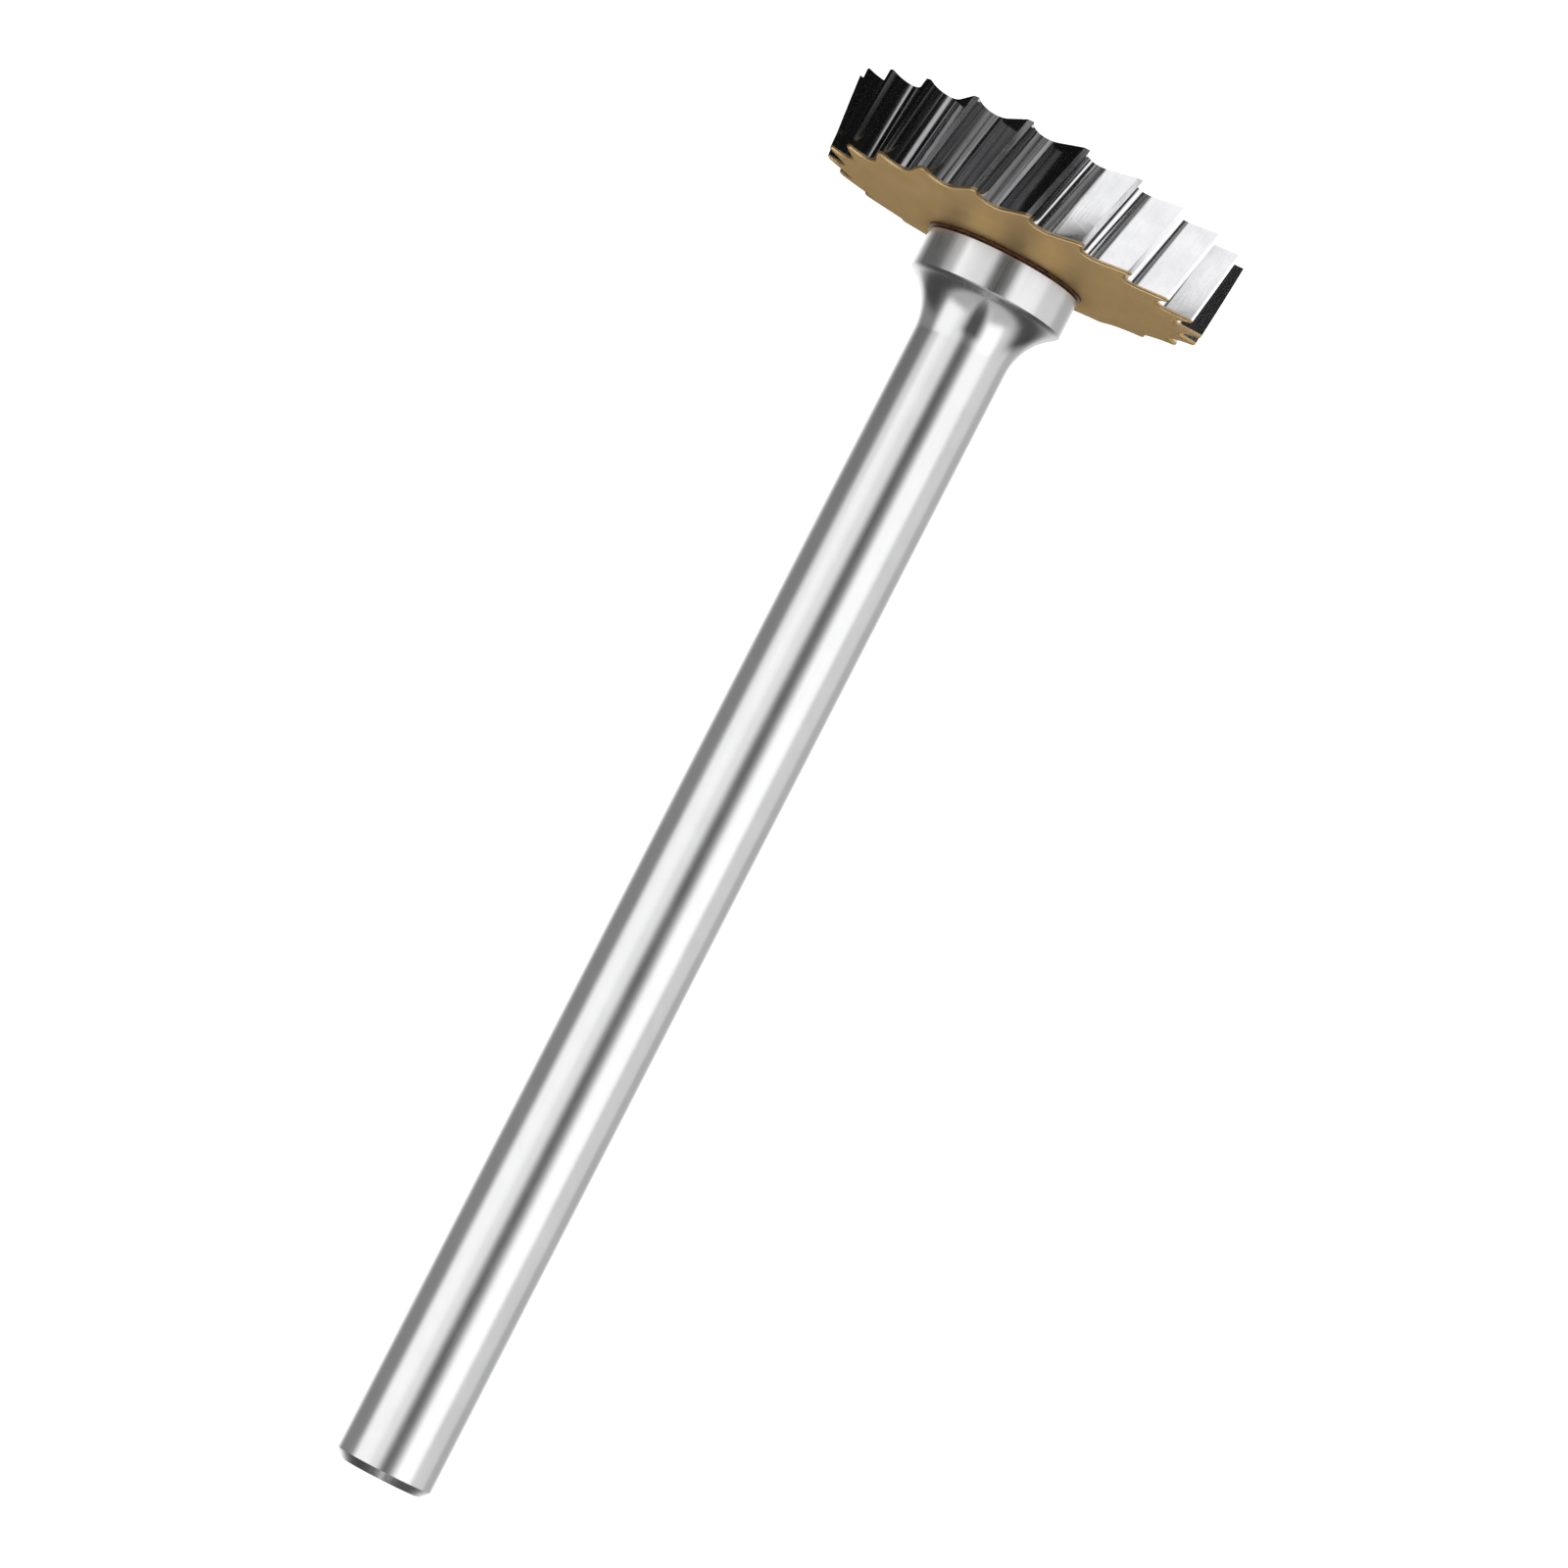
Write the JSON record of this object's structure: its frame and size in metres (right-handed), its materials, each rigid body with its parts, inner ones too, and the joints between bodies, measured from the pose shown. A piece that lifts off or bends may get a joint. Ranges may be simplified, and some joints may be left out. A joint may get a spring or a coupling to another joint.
{
  "type": "disc rotary burr",
  "caption": "Straight-shank rotary burr with a thin toothed carbide disc on its end, for slotting and carving in a hand-held rotary tool.",
  "frame": {"origin": "centre of the shank's free end", "axes": "+Z along the shank's axis, from its free end towards the toothed disc"},
  "size_m": [0.0126, 0.0126, 0.0428],
  "materials": {
    "polished_steel": "polished",
    "braze_filler": "matte",
    "brass_facing": "satin",
    "ground_carbide": "polished"
  },
  "bodies": {
    "root": {"shank": "polished_steel", "braze_joint": "braze_filler", "back_facing": "brass_facing", "carbide_head": "ground_carbide"}
  },
  "joints": []
}
